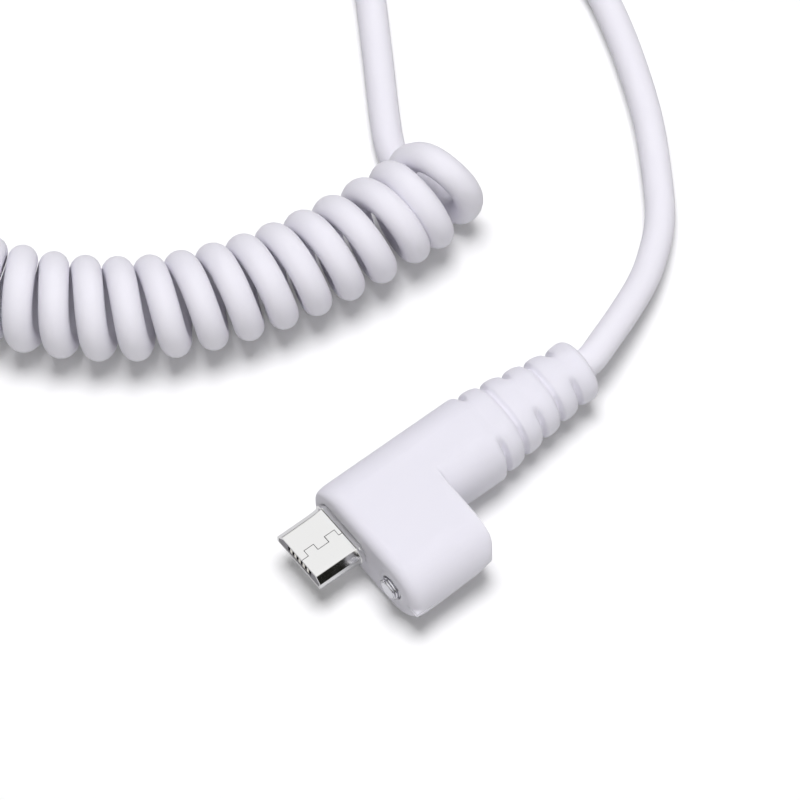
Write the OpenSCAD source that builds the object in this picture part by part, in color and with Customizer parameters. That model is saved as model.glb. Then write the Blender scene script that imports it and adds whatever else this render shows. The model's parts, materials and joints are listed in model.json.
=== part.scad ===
// Coiled USB cable. One end is a micro USB plug in a moulded block whose side ear
// carries a lock screw, with a ribbed strain relief in line behind it. A curly cord
// joins it to a plain USB-A plug. All sizes are in millimetres.
// X runs to the ear, Y runs back from the plug to its cord, Z is up, and the moulding
// rests on Z = 0. The origin is under the middle of the lock-screw plug.

/* [Moulded block] */
// Width from the flush side to the tip of the ear
block_w = 16.35; // [15.6:0.05:18]
// Height of the block and of the neck
block_h = 8.0; // [7.8:0.1:9]
// Depth of the ear from its front face to its back face
ear_d = 10.15; // [9.6:0.05:12]
// Width of the neck that carries on behind the shell
neck_w = 9.3; // [9:0.1:9.8]
// Radius along the flush side and along the neck
side_r = 3.6; // [3:0.1:3.8]
// Rounding all round the front face
front_r = 1.25; // [0.6:0.05:1.5]
// Plan radius of the ear's back corner
ear_corner_r = 1.8; // [0.6:0.1:2]
// Length from the front face to the first groove
neck_l = 17.15; // [17:0.05:20]
// Reach of the thin flash along the mould's parting line
flash_out = 0.08; // [0.04:0.01:0.12]

/* [Strain relief] */
// Number of grooves between the ribs
groove_count = 5; // [3:1:6]
// Distance from groove to groove
rib_pitch = 2.45; // [2.2:0.05:2.8]
// How far each rib swells above its two grooves
rib_bulge = 0.3; // [0.15:0.05:0.4]
// Width of a groove's open slot
slot_w = 0.8; // [0.5:0.05:1]
// Extra depth of the slots in the two sides
slot_d = 0.5; // [0.3:0.05:0.8]
// Depth of the grooves that run over the top
ring_d = 0.25; // [0.15:0.05:0.5]
// Diameter of the last rib
relief_d = 6.5; // [6:0.1:7.2]
// Length from the last groove to the cord outlet
relief_tail = 2.5; // [2:0.1:3.5]

/* [Micro shell] */
// Width of the wide lower half
micro_w = 6.85; // [6.7:0.01:6.9]
// Width of the narrow upper face
micro_top_w = 5.4; // [5.2:0.05:5.6]
// Height of the inserted part
micro_h = 1.8; // [1.75:0.01:1.85]
// Length that stands out of the block
micro_out = 5.35; // [4.8:0.05:5.6]
// Thickness of the folded sheet
micro_t = 0.25; // [0.2:0.01:0.3]
// Half width of the collar at the block
collar_half_w = 3.6; // [3.5:0.05:3.9]
// Collar height above the shell's middle
collar_up = 1.2; // [1.1:0.05:1.9]
// Collar depth below the shell's middle
collar_down = 1.15; // [1.05:0.05:1.6]
// Length of the shell held inside the block
micro_in = 3.0; // [2.6:0.1:3.4]
// Height of the shell's middle above the parting line
micro_lift = 0.2; // [0:0.05:0.3]
// Width of the folded seam's gap
seam_gap = 0.06; // [0.04:0.01:0.1]
// Distance between contacts
contact_pitch = 0.65; // [0.6:0.01:0.66]
// Width of one contact
contact_w = 0.26; // [0.2:0.01:0.4]

/* [Lock screw] */
// Thread diameter
screw_d = 2.5; // [2.3:0.05:2.6]
// Length that stands out of the front face
screw_out = 0.65; // [0.5:0.05:1.5]
// Distance of the screw's axis from the tip of the ear
screw_edge = 3.85; // [3.5:0.05:4]
// Height of the screw's axis above the parting line
screw_lift = 0.3; // [0:0.05:0.35]
// Diameter of the shank behind the thread, which keeps the screw in its bush
shank_d = 2.0; // [1.8:0.05:2.1]
// Diameter of the socket head
head_d = 4.4; // [4:0.1:4.6]
// Length of the socket head
head_l = 2.6; // [2:0.1:3]
// How far the head lies below the ear's back face
head_sunk = 0.6; // [0.3:0.1:1]
// Width across the flats of the hexagon socket
socket_af = 2.0; // [1.5:0.5:2]
// Running clearance of the shank in its bush, on the radius
screw_gap = 0.08; // [0.04:0.01:0.1]
// Outer diameter of the bush
bush_d = 3.8; // [3.6:0.1:4]

/* [Cord] */
// Diameter of the cord
cord_d = 3.0; // [2.8:0.1:3.2]
// Outer diameter of the curly stretch
coil_d = 10.4; // [10:0.1:11]

/* [Far plug] */
// Width of the USB-A plug's moulding
far_w = 15.4; // [14.6:0.1:16]
// Height of the moulding
far_h = 7.8; // [7.4:0.1:9]
// Length of the moulding without its strain relief
far_l = 19.0; // [17:0.5:24]
// Corner radius of the moulding
far_r = 2.4; // [1:0.1:3]
// Length of the ribbed strain relief
far_relief_l = 12.0; // [10:0.5:16]
// Width of the USB-A shell
type_a_w = 12.0; // [11.9:0.05:12.1]
// Height of the USB-A shell
type_a_h = 4.5; // [4.4:0.05:4.6]
// Length of the USB-A shell outside the moulding
type_a_out = 11.8; // [11.5:0.05:12.2]
// Thickness of the USB-A shell's sheet
type_a_t = 0.3; // [0.25:0.01:0.35]

/* [Hidden] */

fine = 72;
arc_n = 12;
eps = 0.02;
seat = 0.03;

// Places in the plug's own frame: X from the flush side, Y from the front face
mid_z = block_h / 2;
ear_tip = block_w - flash_out;
flash_t = 0.12;
flush_part = 0.3;
neck_x = neck_w / 2;
relief_end = neck_l + (groove_count - 1) * rib_pitch + relief_tail;
origin_x = block_w / 2;
origin_y = (relief_end - micro_out) / 2;
shell_z = mid_z + micro_lift;
taper_start = neck_l - 0.8;
taper_end = relief_end - relief_tail + 0.3;
loft_start = neck_l - 2.4;

screw_x = block_w - screw_edge;
screw_z = mid_z + screw_lift;
head_y = ear_d - head_sunk - head_l;
bush_y0 = 0.7;
lip_out = 0.12;
lip_w = 0.35;
hole_gap = 0.2;
thread_run = 0.2;
tip_chamfer = 0.15;
bush_y1 = head_y - 0.05;

// The inner assembly behind the shell, held inside the moulding
inner_half_w = 3.1;
inner_half_h = 2.1;
inner_l = 10;
inner_y1 = micro_in + inner_l;
crimp_l = 3.0;
crimp_d = cord_d + 0.9;
crimp_y = inner_y1 + 0.2;
wire_d = 0.45;
contact_t = 0.45;
contact_tail = micro_in + 0.6;
tail_pocket = 4 * contact_pitch + 0.9;
tongue_half_w = 1.85;
tongue_z0 = -0.45;
tongue_z1 = 0.42;
tongue_depth = 3.9;
tip_recess = 0.15;
contact_front = -micro_out + 0.55;
latch_x = 2.45;
latch_w = 0.5;
latch_t = 0.2;
latch_root = -0.5;
latch_tip = -4.2;
hook_y0 = -3.5;
hook_y1 = -2.7;
hook_out = 0.35;
window_gap = 0.15;

far_mid = far_h / 2;
far_inner_w = 9.0;
far_inner_h = 4.0;
far_inner_y1 = far_l - 4.5;
type_a_window = 2.5;
type_a_window_l = 1.95;
type_a_window_x = 2.85;
type_a_window_y = 5.2;
far_end = [-74.7, 51, far_mid];
far_front = [far_end[0], far_end[1] - far_l - far_relief_l, 0];
far_in = 5.0;
far_block = 1.5;

cord_r = cord_d / 2;
coil_r = coil_d / 2;
outlet = [neck_x - origin_x, relief_end - origin_y, mid_z];

// Route of the cord, chosen by hand: from the strain relief down to the table, round a
// loop and back to the near end of the curly stretch
lead_route = [outlet, outlet + [0, 0.6, 0], outlet + [0, 1.2, 0], [-4.5, 21, 3.8], [-5.7, 24, 3.4],
    [-7.6, 28, 2.7], [-9.6, 31, 2.2], [-12.4, 34.1, 1.7], [-16.2, 36.8, cord_r],
    [-21.8, 40.1, cord_r], [-27.2, 42.5, cord_r], [-32.2, 44.3, cord_r], [-37.2, 45.6, cord_r],
    [-42.2, 45.8, cord_r], [-47, 44.4, cord_r], [-51, 41.2, cord_r], [-53.2, 36.8, cord_r],
    [-53.4, 32, cord_r], [-51.8, 28.8, cord_r], [-48.6, 26.7, cord_r], [-43.8, 23.7, cord_r],
    [-38.4, 20.3, cord_r], [-34.6, 18, cord_r], [-31.2, 18.3, cord_r]];

// Middle line of the curly stretch, which lies in a bow on the table
coil_route = [[-27.1, 19.8, coil_r], [-27.2, 14.7, coil_r], [-27.6, 8, coil_r],
    [-28.7, 1.3, coil_r], [-30.6, -5.1, coil_r], [-33.5, -11.3, coil_r],
    [-37.6, -16.8, coil_r], [-42.6, -21.4, coil_r], [-48.4, -25, coil_r],
    [-55, -27.2, coil_r], [-61.9, -27.4, coil_r], [-68.5, -25.8, coil_r],
    [-74.4, -22.4, coil_r], [-79.2, -17.6, coil_r], [-82.6, -11.8, coil_r],
    [-83.8, -9.2, coil_r]];

// Route from the far end of the curly stretch to the USB-A plug
tail_route = [[-83.4, -10.8, cord_r], [-86, -11.2, cord_r], [-88.2, -9.6, cord_r],
    [-89.2, -6.4, cord_r], [-89.2, -1, cord_r], [-89, 6, cord_r], [-89, 14, cord_r],
    [-89.2, 22, cord_r], [-89.2, 30, cord_r], [-89.2, 38, cord_r], [-88.8, 46, 1.6],
    [-87, 53, 1.9], [-83, 57.4, 2.6], [-78.2, 57.8, 3.3], [-75.5, 55.2, 3.8],
    far_end + [0, 1.4, 0], far_end + [0, 0.7, 0], far_end];

// ---- Helpers ----

function unit(v) = v / norm(v);

// Corner arcs for a closed outline: each corner of pts is rounded with n + 1 points
function rounded(pts, r, n = 4) = [
    for (i = [0 : len(pts) - 1])
        let (p = pts[i], a = pts[(i + len(pts) - 1) % len(pts)], b = pts[(i + 1) % len(pts)],
            u = unit(a - p), v = unit(b - p), half = acos(u * v) / 2,
            cut = r / tan(half), c = p + unit(u + v) * r / sin(half),
            from = p + u * cut - c, to = p + v * cut - c,
            a0 = atan2(from[1], from[0]), a1 = atan2(to[1], to[0]),
            turn = a1 - a0 > 180 ? a1 - a0 - 360 : a1 - a0 < -180 ? a1 - a0 + 360 : a1 - a0)
        for (k = [0 : n]) c + r * [cos(a0 + turn * k / n), sin(a0 + turn * k / n)]];

function reversed(v) = [for (i = [len(v) - 1 : -1 : 0]) v[i]];

// Solid through a row of outlines, each a list of the same number of 3-D points. Seen
// along the row, every outline runs clockwise.
module loft(rings) {
    n = len(rings[0]);
    last = len(rings) - 1;
    polyhedron(points = [for (ring = rings) for (p = ring) p],
        faces = concat([[for (i = [0 : n - 1]) i]],
            [for (k = [0 : last - 1]) for (i = [0 : n - 1])
                [k * n + i, (k + 1) * n + i, (k + 1) * n + (i + 1) % n, k * n + (i + 1) % n]],
            [[for (i = [n - 1 : -1 : 0]) last * n + i]]), convexity = 8);
}

// Smooth curve through route points: steps points between each pair
function spline(pts, steps) = [
    for (i = [0 : len(pts) - 2]) for (k = [0 : steps - 1])
        let (t = k / steps, p0 = pts[max(i - 1, 0)], p1 = pts[i], p2 = pts[i + 1],
            p3 = pts[min(i + 2, len(pts) - 1)])
        0.5 * (2 * p1 + (p2 - p0) * t + (2 * p0 - 5 * p1 + 4 * p2 - p3) * t * t
            + (3 * p1 - p0 - 3 * p2 + p3) * t * t * t),
    pts[len(pts) - 1]];

// Round tube along a line of points
module sweep_tube(line, r, sides) {
    last = len(line) - 1;
    loft([for (i = [0 : last])
        let (t = unit(line[min(i + 1, last)] - line[max(i - 1, 0)]),
            across = unit(cross(t, [0, 0, 1])), up = cross(across, t))
        [for (k = [0 : sides - 1]) let (a = 360 * (k + 0.5) / sides)
            line[i] + r * (cos(a) * across - sin(a) * up)]]);
}

// Turns a flat outline drawn as (x, height) into a solid from y0 back to y1
module along_y(y0, y1) {
    translate([0, y1, 0]) rotate([90, 0, 0]) linear_extrude(y1 - y0) children();
}

module rod_y(x, z, r, y0, y1) {
    translate([x, y1, z]) rotate([90, 0, 0]) cylinder(r = r, h = y1 - y0, $fn = fine);
}

module place_plug() {
    translate([-origin_x, -origin_y, 0]) children();
}

module place_far() {
    translate(far_front) children();
}

// ---- Moulded block, neck and ribbed strain relief ----

// Outline of the block at y, drawn in by d: a soft flush side, whose front edge is rounded
// less, and a fully rounded ear
function block_ring(y, d) =
    reversed([for (q = [0 : 3]) for (k = [0 : arc_n - 1])
        let (a = 90 * q + 90 * k / (arc_n - 1), ear = q == 0 || q == 3,
            r = (ear ? mid_z : side_r) - d,
            x = ear ? ear_tip - mid_z : side_r - d * (1 - flush_part),
            z = ear ? mid_z : q == 1 ? block_h - side_r : side_r)
        [x + r * cos(a), y, z + r * sin(a)]]);

// Plan of the block: only the ear's back corner is rounded
module block_plan() {
    square([block_w, ear_d - ear_corner_r]);
    square([block_w - ear_corner_r, ear_d]);
    translate([block_w - ear_corner_r, ear_d - ear_corner_r]) circle(r = ear_corner_r, $fn = fine);
}

// The parting line leaves a thin flash round the ear, which stays square at the front
module block() {
    steps = 8;
    intersection() {
        loft(concat([for (k = [0 : steps]) let (t = 90 * k / steps)
            block_ring(front_r * (1 - cos(t)), front_r * (1 - sin(t)))], [block_ring(ear_d, 0)]));
        linear_extrude(block_h) block_plan();
    }
    translate([0, 0, mid_z - flash_t / 2]) linear_extrude(flash_t) intersection() {
        block_plan();
        translate([block_w - 1.4, 0]) square([1.4, ear_d]);
    }
}

function mix(a, b, t) = a + (b - a) * min(max(t, 0), 1);
function ease(t) = let (s = min(max(t, 0), 1)) s * s * (3 - 2 * s);

// Half sizes of the strain relief's crests at a distance y behind the front face
function crest(y) = let (t = (y - taper_start) / (taper_end - taper_start))
    [mix(neck_x, relief_d / 2, t), mix(mid_z, relief_d / 2, t), mix(side_r, relief_d / 2 - eps, t)];

// Depth below the crest at y, on the side that faces angle a. The ribs swell between the
// grooves. Every groove has a rounded slot in each side. Every second groove also runs over
// the top and the bottom, and the others are bridged there by a web level with the ribs.
function groove_depth(y, a) =
    let (i = min(max(round((y - neck_l) / rib_pitch), 0), groove_count - 1),
        off = y - neck_l - i * rib_pitch,
        open = i % 2 == 1,
        side = ease((abs(cos(a)) - 0.35) / 0.45),
        reach = i == 0 && off < 0 ? slot_w : rib_pitch / 2,
        valley = rib_bulge * pow(1 - min(abs(off) / reach, 1), 2),
        cut = max(1 - pow(2 * off / slot_w, 2), 0))
    valley * (open ? 1 : 0.25 + 0.75 * side) + cut * (open ? max(ring_d, slot_d * side) : slot_d * side);

function relief_ring(y, shrink = 0) =
    let (c = crest(y))
    reversed([for (q = [0 : 3]) for (k = [0 : arc_n - 1])
        let (a = 90 * q + 90 * k / (arc_n - 1), r = c[2],
            d = groove_depth(y, a) + shrink,
            sx = q == 0 || q == 3 ? 1 : -1, sz = q < 2 ? 1 : -1)
        [neck_x + sx * (c[0] - r) + (r - d) * cos(a), y,
            mid_z + sz * (c[1] - r) + (r - d) * sin(a)]]);

// The neck has the outline of the relief's plain start
module neck_section() {
    polygon([for (p = relief_ring(0)) [p[0], p[2]]]);
}

relief_steps = concat([loft_start, taper_start - 0.2],
    [for (i = [0 : groove_count - 1]) let (y = neck_l + i * rib_pitch, w = slot_w / 2)
        for (o = [-1.9 * w, -w, -0.7 * w, -0.35 * w, 0, 0.35 * w, 0.7 * w, w, 1.9 * w, rib_pitch / 2])
            if (i < groove_count - 1 || o < 1) y + o]);
cap_r = 0.9;

module relief() {
    loft(concat([for (y = relief_steps) relief_ring(y, y == loft_start ? eps : 0)],
        [for (k = [0 : 4]) let (a = 90 * k / 4)
            relief_ring(relief_end - cap_r + cap_r * sin(a), cap_r * (1 - cos(a)))]));
}

module lip_and_hole() {
    difference() {
        union() {
            children();
            rod_y(screw_x, screw_z, screw_d / 2 + hole_gap + lip_w, -lip_out, bush_y0 / 2);
        }
        rod_y(screw_x, screw_z, screw_d / 2 + hole_gap, -1, bush_y0 + 0.01);
        rod_y(screw_x, screw_z, bush_d / 2, bush_y0, head_y);
        rod_y(screw_x, screw_z, head_d / 2 + hole_gap, bush_y1, ear_d + 1);
    }
}

module plug_body() {
    color([0.90, 0.90, 0.95]) place_plug() lip_and_hole() difference() {
        union() {
            block();
            along_y(front_r + 1, taper_start - 0.5) neck_section();
            relief();
        }
        along_y(-1, micro_in) translate([neck_x, shell_z]) collar_outline(seat);
        translate([neck_x - inner_half_w, micro_in - 0.01, mid_z - inner_half_h])
            cube([2 * inner_half_w, inner_y1 - micro_in + 0.01, 2 * inner_half_h]);
        rod_y(neck_x, mid_z, crimp_d / 2, inner_y1 - 0.01, crimp_y + crimp_l);
        rod_y(neck_x, mid_z, cord_r, inner_y1, relief_end + 1);
    }
}

// ---- Micro shell and what it holds ----

// Outline of the inserted part, moved inward by wall: wide below, narrow above
function micro_outline(wall) =
    let (b = micro_w / 2 - wall, t = micro_top_w / 2 - wall * 0.8, h = micro_h / 2 - wall)
    rounded([[-b, -h], [b, -h], [b, 0], [t, h], [-t, h], [-b, 0]], 0.3 - wall * 0.5);

function collar_points(wall) =
    let (w = collar_half_w - wall, u = collar_up - wall, d = collar_down - wall)
    rounded([[-w, -d], [w, -d], [w, 0.05], [w - 0.85, u], [-w + 0.85, u], [-w, 0.05]],
        0.32 - wall * 0.5);

module collar_outline(grow) polygon(collar_points(-grow));

function blend(a, b, t) = [for (i = [0 : len(a) - 1]) a[i] * (1 - t) + b[i] * t];
function at_y(outline, y) = reversed([for (p = outline) [neck_x + p[0], y, shell_z + p[1]]]);

// The shell's sides start to spread a little behind the latches, and its faces flare
// out to the collar just in front of the block
module micro_form(wall, y0, y1) {
    m = micro_outline(wall);
    c = collar_points(wall);
    loft([at_y(m, y0), at_y(m, -2.8), at_y(blend(m, c, 0.05), -1.7), at_y(blend(m, c, 0.14), -1.15),
        at_y(blend(m, c, 0.3), -0.8), at_y(blend(m, c, 0.55), -0.5), at_y(blend(m, c, 0.8), -0.28),
        at_y(blend(m, c, 0.95), -0.14), at_y(c, -0.05), at_y(c, y1)]);
}

// Interlocking seam where the folded sheet meets: square dovetails along the top
seam_x = -0.22;
seam_step = 0.72;
seam_leg = 1.165;
module seam() {
    g = seam_gap / 2;
    top = shell_z + micro_h / 2 - micro_t - 0.1;
    first = 0.77 - micro_out;
    for (i = [0 : 4]) let (y = first + (i - 1) * seam_leg, s = i % 2 == 0 ? seam_step : 0) {
        translate([neck_x + seam_x + s - g, y - g, top]) cube([2 * g, seam_leg + 2 * g, 3]);
        if (i > 0) translate([neck_x + seam_x - g, y - g, top]) cube([seam_step + 2 * g, 2 * g, 3]);
    }
}

module latch_windows() {
    for (s = [-1, 1]) translate([neck_x + s * latch_x - latch_w / 2 - window_gap,
        hook_y0 - window_gap, shell_z - micro_h / 2 - 0.1])
        cube([latch_w + 2 * window_gap, hook_y1 - hook_y0 + 2 * window_gap, micro_t + 0.2]);
}

module plug_shell() {
    color([0.78, 0.78, 0.76]) place_plug() difference() {
        micro_form(0, -micro_out, micro_in);
        micro_form(micro_t, -micro_out - 0.01, micro_in + 0.01);
        seam();
        latch_windows();
    }
}

contact_x = [for (i = [0 : 4]) (i - 2) * contact_pitch];

module contact_blade(x, grow = 0) {
    translate([neck_x + x - contact_w / 2 - grow, contact_front, shell_z + tongue_z0])
        cube([contact_w + 2 * grow, contact_tail - contact_front, contact_t + grow]);
}

// Grooves in the insulator that the latch arms lie in, with room for them to rise
module latch_channels() {
    for (s = [-1, 1]) translate([neck_x + s * latch_x - latch_w / 2 - 0.08,
        latch_tip - 0.15, shell_z - micro_h / 2])
        cube([latch_w + 0.16, latch_root - latch_tip + 0.15, micro_t + latch_t + 0.7]);
}

module plug_insulator() {
    color([0.30, 0.30, 0.36]) place_plug() difference() {
        micro_form(micro_t + eps, -micro_out + tip_recess, micro_in);
        translate([neck_x - tongue_half_w, -micro_out, shell_z + tongue_z0])
            cube([2 * tongue_half_w, tongue_depth, tongue_z1 - tongue_z0]);
        for (x = contact_x) contact_blade(x);
        latch_channels();
    }
}

module contact(i) {
    color([0.85, 0.74, 0.45]) place_plug() contact_blade(contact_x[i]);
}

// Spring arm with a ramped hook that stands out through the shell's window
module latch(side) {
    x = neck_x + side * latch_x;
    z0 = shell_z - micro_h / 2 + micro_t + 0.05;
    color([0.80, 0.80, 0.80]) place_plug() {
        translate([x - latch_w / 2, latch_tip, z0]) cube([latch_w, latch_root - latch_tip, latch_t]);
        translate([x - latch_w / 2, 0, z0]) rotate([90, 0, 90]) linear_extrude(latch_w)
            polygon([[hook_y0, eps], [hook_y0 + 0.15, -0.05 - micro_t - hook_out * 0.6],
                [hook_y1 - 0.3, -0.05 - micro_t - hook_out], [hook_y1, -0.05 - micro_t - hook_out * 0.8],
                [hook_y1, eps]]);
    }
}

// Wires run from the contact tails and draw together at the jacket
wire_from = [contact_x[0], contact_x[1], contact_x[2], contact_x[4]];
wire_to = [[-0.38, 0.38], [-0.38, -0.38], [0.38, 0.38], [0.38, -0.38]];
module wire(i) {
    a = [neck_x + wire_from[i], contact_tail + 0.12, shell_z + tongue_z0 + contact_t / 2];
    b = [neck_x + wire_to[i][0], crimp_y + 0.1, mid_z + wire_to[i][1]];
    d = b - a;
    translate(a) rotate([0, acos(d[2] / norm(d)), atan2(d[1], d[0])])
        cylinder(r = wire_d / 2, h = norm(d), $fn = 24);
}

module inner_mould() {
    color([0.94, 0.93, 0.88]) place_plug() difference() {
        translate([neck_x - inner_half_w, micro_in, mid_z - inner_half_h])
            cube([2 * inner_half_w, inner_y1 - micro_in, 2 * inner_half_h]);
        for (x = contact_x) contact_blade(x);
        translate([neck_x - tail_pocket / 2, micro_in - 1, shell_z + tongue_z0 - 0.35])
            cube([tail_pocket, contact_tail - micro_in + 1.6, 0.9]);
        for (i = [0 : 3]) wire(i);
    }
}

module crimp_ring() {
    color([0.75, 0.66, 0.42]) place_plug() difference() {
        rod_y(neck_x, mid_z, crimp_d / 2, crimp_y, crimp_y + crimp_l);
        rod_y(neck_x, mid_z, cord_r, crimp_y - 1, crimp_y + crimp_l + 1);
    }
}

module jacket_end() {
    color([0.89, 0.89, 0.94]) place_plug() rod_y(neck_x, mid_z, cord_r, crimp_y + 0.5, relief_end);
}

// ---- Lock screw ----

module screw_bush() {
    color([0.80, 0.68, 0.38]) place_plug() difference() {
        rod_y(screw_x, screw_z, bush_d / 2, bush_y0, bush_y1);
        rod_y(screw_x, screw_z, shank_d / 2 + screw_gap, bush_y0 - 1, bush_y1 + 1);
    }
}

// Half outline of the screw as [radius, y]: chamfered tip, the thread's plain outer band, the
// thinner shank that keeps it in its bush, and the head
module screw_outline() {
    r = screw_d / 2;
    n = shank_d / 2;
    h = head_d / 2;
    back = ear_d - head_sunk;
    polygon([[0, -screw_out], [r - tip_chamfer, -screw_out], [r, tip_chamfer - screw_out],
        [r, -thread_run], [n, -thread_run], [n, head_y], [h, head_y], [h, back - 0.2],
        [h - 0.2, back], [0, back]]);
}

module lock_screw() {
    color([0.76, 0.76, 0.76]) place_plug() difference() {
        translate([screw_x, 0, screw_z]) rotate([-90, 0, 0]) rotate_extrude($fn = fine) screw_outline();
        translate([screw_x, ear_d - head_sunk + 1, screw_z]) rotate([90, 0, 0])
            cylinder(d = socket_af / cos(30), h = 1 + head_l * 0.6, $fn = 6);
    }
}

// ---- Cord ----

module plug_lead() {
    color([0.88, 0.88, 0.93]) sweep_tube(spline(lead_route, 2), cord_r, 8);
}

module coil_cord() {
    color([0.87, 0.87, 0.92]) sweep_tube(spline(coil_route, 2), coil_r, 12);
}

module tail_lead() {
    color([0.88, 0.88, 0.93]) sweep_tube(spline(tail_route, 2), cord_r, 8);
}

// ---- Far plug ----

module far_outline(grow = 0) {
    w = far_w / 2 + grow;
    h = far_h / 2 + grow;
    polygon(rounded([[-w, -h], [w, -h], [w, h], [-w, h]], far_r, 8));
}

// Waist of the strain relief: ribs that step down to the cord
module far_relief_form() {
    pitch = (far_relief_l - 1) / 5;
    translate([0, far_l, far_mid]) rotate([-90, 0, 0]) rotate_extrude($fn = fine) polygon(concat(
        [[0, -1], [3.5, -1]],
        [for (i = [0 : 4]) for (p = [[3.45 - 0.16 * i, 0.1], [3.3 - 0.16 * i, pitch - 0.65],
            [2.75 - 0.1 * i, pitch - 0.6], [2.75 - 0.1 * i, pitch]]) [p[0], 0.5 + i * pitch + p[1]]],
        [[2.7, far_relief_l - 0.3], [2.4, far_relief_l], [0, far_relief_l]]));
}

module far_body() {
    color([0.90, 0.90, 0.95]) place_far() difference() {
        union() {
            intersection() {
                translate([0, 0, far_mid]) along_y(0, far_l) far_outline();
                linear_extrude(far_h) polygon(rounded([[-far_w / 2, 0], [far_w / 2, 0],
                    [far_w / 2 - 0.4, far_l], [-far_w / 2 + 0.4, far_l]], 1.6, 6));
            }
            far_relief_form();
        }
        translate([-type_a_w / 2 - seat, -1, far_mid - type_a_h / 2 - seat])
            cube([type_a_w + 2 * seat, 1 + far_in, type_a_h + 2 * seat]);
        translate([-far_inner_w / 2, far_in - 0.01, far_mid - far_inner_h / 2])
            cube([far_inner_w, far_inner_y1 - far_in + 0.01, far_inner_h]);
        rod_y(0, far_mid, crimp_d / 2, far_inner_y1 - 0.01, far_inner_y1 + 0.2 + crimp_l);
        rod_y(0, far_mid, cord_r, far_inner_y1, far_l + far_relief_l + 1);
    }
}

module type_a_outline(wall) {
    polygon(rounded([[-type_a_w / 2 + wall, -type_a_h / 2 + wall], [type_a_w / 2 - wall, -type_a_h / 2 + wall],
        [type_a_w / 2 - wall, type_a_h / 2 - wall], [-type_a_w / 2 + wall, type_a_h / 2 - wall]], 0.45 - wall, 4));
}

module far_shell() {
    color([0.78, 0.78, 0.76]) place_far() difference() {
        translate([0, 0, far_mid]) along_y(-type_a_out, far_in) type_a_outline(0);
        translate([0, 0, far_mid]) along_y(-type_a_out - 1, far_in + 1) type_a_outline(type_a_t);
        for (s = [-1, 1]) translate([s * type_a_window_x - type_a_window / 2, type_a_window_y - type_a_out, -1])
            cube([type_a_window, type_a_window_l, far_h + 2]);
        translate([-seam_gap / 2, -type_a_out - 1, -1]) cube([seam_gap, type_a_out + far_in + 2, far_mid]);
    }
}

far_contact_x = [-3.5, -1, 1, 3.5];
far_contact_w = 1.0;
far_contact_back = 1.2;
far_tongue_t = 1.9;
far_tongue_z = far_mid + type_a_h / 2 - type_a_t - far_tongue_t;

module far_blade(i) {
    front = i == 0 || i == 3 ? 1.0 : 1.8;
    translate([far_contact_x[i] - far_contact_w / 2, front - type_a_out, far_tongue_z - 0.05])
        cube([far_contact_w, type_a_out - front + far_in + far_contact_back, 0.2]);
}

// Tongue under the shell's upper face and the block that it grows from
module far_insulator() {
    w = type_a_w / 2 - type_a_t - eps;
    color([0.90, 0.90, 0.90]) place_far() difference() {
        union() {
            translate([-w + 0.1, -type_a_out + 0.7, far_tongue_z])
                cube([2 * w - 0.2, type_a_out + far_in - 0.7, far_tongue_t - eps]);
            translate([-w + 0.1, -far_block, far_mid - type_a_h / 2 + type_a_t + eps])
                cube([2 * w - 0.2, far_block + far_in, type_a_h - 2 * type_a_t - 2 * eps]);
        }
        for (i = [0 : 3]) far_blade(i);
    }
}

module far_contact(i) {
    color([0.85, 0.74, 0.45]) place_far() far_blade(i);
}

module far_inner_mould() {
    color([0.94, 0.93, 0.88]) place_far() difference() {
        translate([-far_inner_w / 2, far_in, far_mid - far_inner_h / 2])
            cube([far_inner_w, far_inner_y1 - far_in, far_inner_h]);
        for (i = [0 : 3]) far_blade(i);
    }
}

module far_crimp_ring() {
    color([0.75, 0.66, 0.42]) place_far() difference() {
        rod_y(0, far_mid, crimp_d / 2, far_inner_y1 + 0.2, far_inner_y1 + 0.2 + crimp_l);
        rod_y(0, far_mid, cord_r, far_inner_y1, far_l + 1);
    }
}

module far_jacket_end() {
    color([0.89, 0.89, 0.94]) place_far()
        rod_y(0, far_mid, cord_r, far_inner_y1 + 0.3, far_l + far_relief_l);
}

plug_body();
plug_shell();
plug_insulator();
contact(0);  // contact_vbus
contact(1);  // contact_data_minus
contact(2);  // contact_data_plus
contact(3);  // contact_id
contact(4);  // contact_ground
latch(-1);  // latch_left
latch(1);  // latch_right
inner_mould();
crimp_ring();
jacket_end();
color([0.75, 0.1, 0.1]) place_plug() wire(0);  // wire_red
color([0.92, 0.92, 0.92]) place_plug() wire(1);  // wire_white
color([0.1, 0.5, 0.2]) place_plug() wire(2);  // wire_green
color([0.08, 0.08, 0.08]) place_plug() wire(3);  // wire_black
screw_bush();
lock_screw();
plug_lead();
coil_cord();
tail_lead();
far_body();
far_shell();
far_insulator();
far_contact(0);  // far_contact_vbus
far_contact(1);  // far_contact_data_minus
far_contact(2);  // far_contact_data_plus
far_contact(3);  // far_contact_ground
far_inner_mould();
far_crimp_ring();
far_jacket_end();
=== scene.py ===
"""Coiled cable whose small locking plug lies on a white table, seen from above the plug."""
import json
import math

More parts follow.
